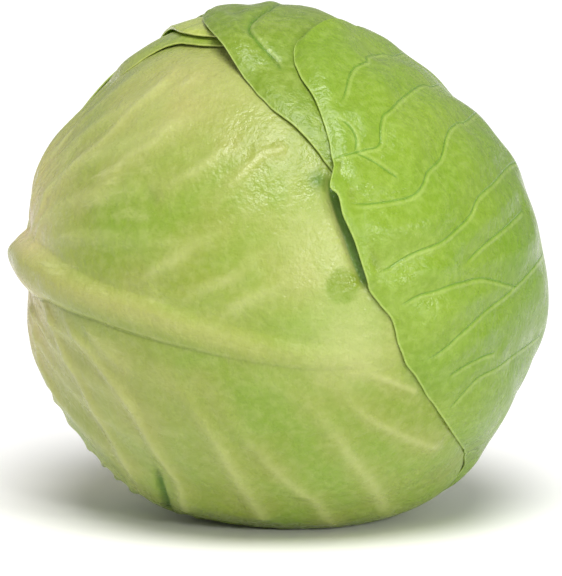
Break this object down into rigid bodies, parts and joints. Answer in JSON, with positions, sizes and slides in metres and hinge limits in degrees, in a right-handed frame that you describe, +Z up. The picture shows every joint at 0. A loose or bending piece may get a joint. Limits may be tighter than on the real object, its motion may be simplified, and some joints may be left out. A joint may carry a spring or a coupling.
{
  "type": "green head cabbage",
  "caption": "Cut head of smooth-leaved green cabbage lying on its side, with waved outer leaves wrapped over a dense heart, pale veins and a cut stem",
  "frame": {"origin": "middle of the footprint box, on the floor the head lies on", "axes": "+Z up, -X towards the cut stem, -Y towards the side that shows the pale front leaf"},
  "size_m": [0.1836, 0.18, 0.1754],
  "materials": {
    "leaf_pale": "satin waxy leaf",
    "leaf_bright": "satin waxy leaf",
    "leaf_mid": "satin waxy leaf",
    "leaf_dark": "satin waxy leaf",
    "heart": "satin waxy leaf",
    "stem": "matt cut stem"
  },
  "bodies": {
    "root": {"leaf_under": "leaf_dark", "leaf_front": "leaf_pale", "leaf_fold": "leaf_mid", "leaf_shoulder": "leaf_mid", "leaf_upper": "leaf_bright", "leaf_crown": "leaf_bright", "heart": "heart", "stem": "stem"}
  },
  "joints": []
}
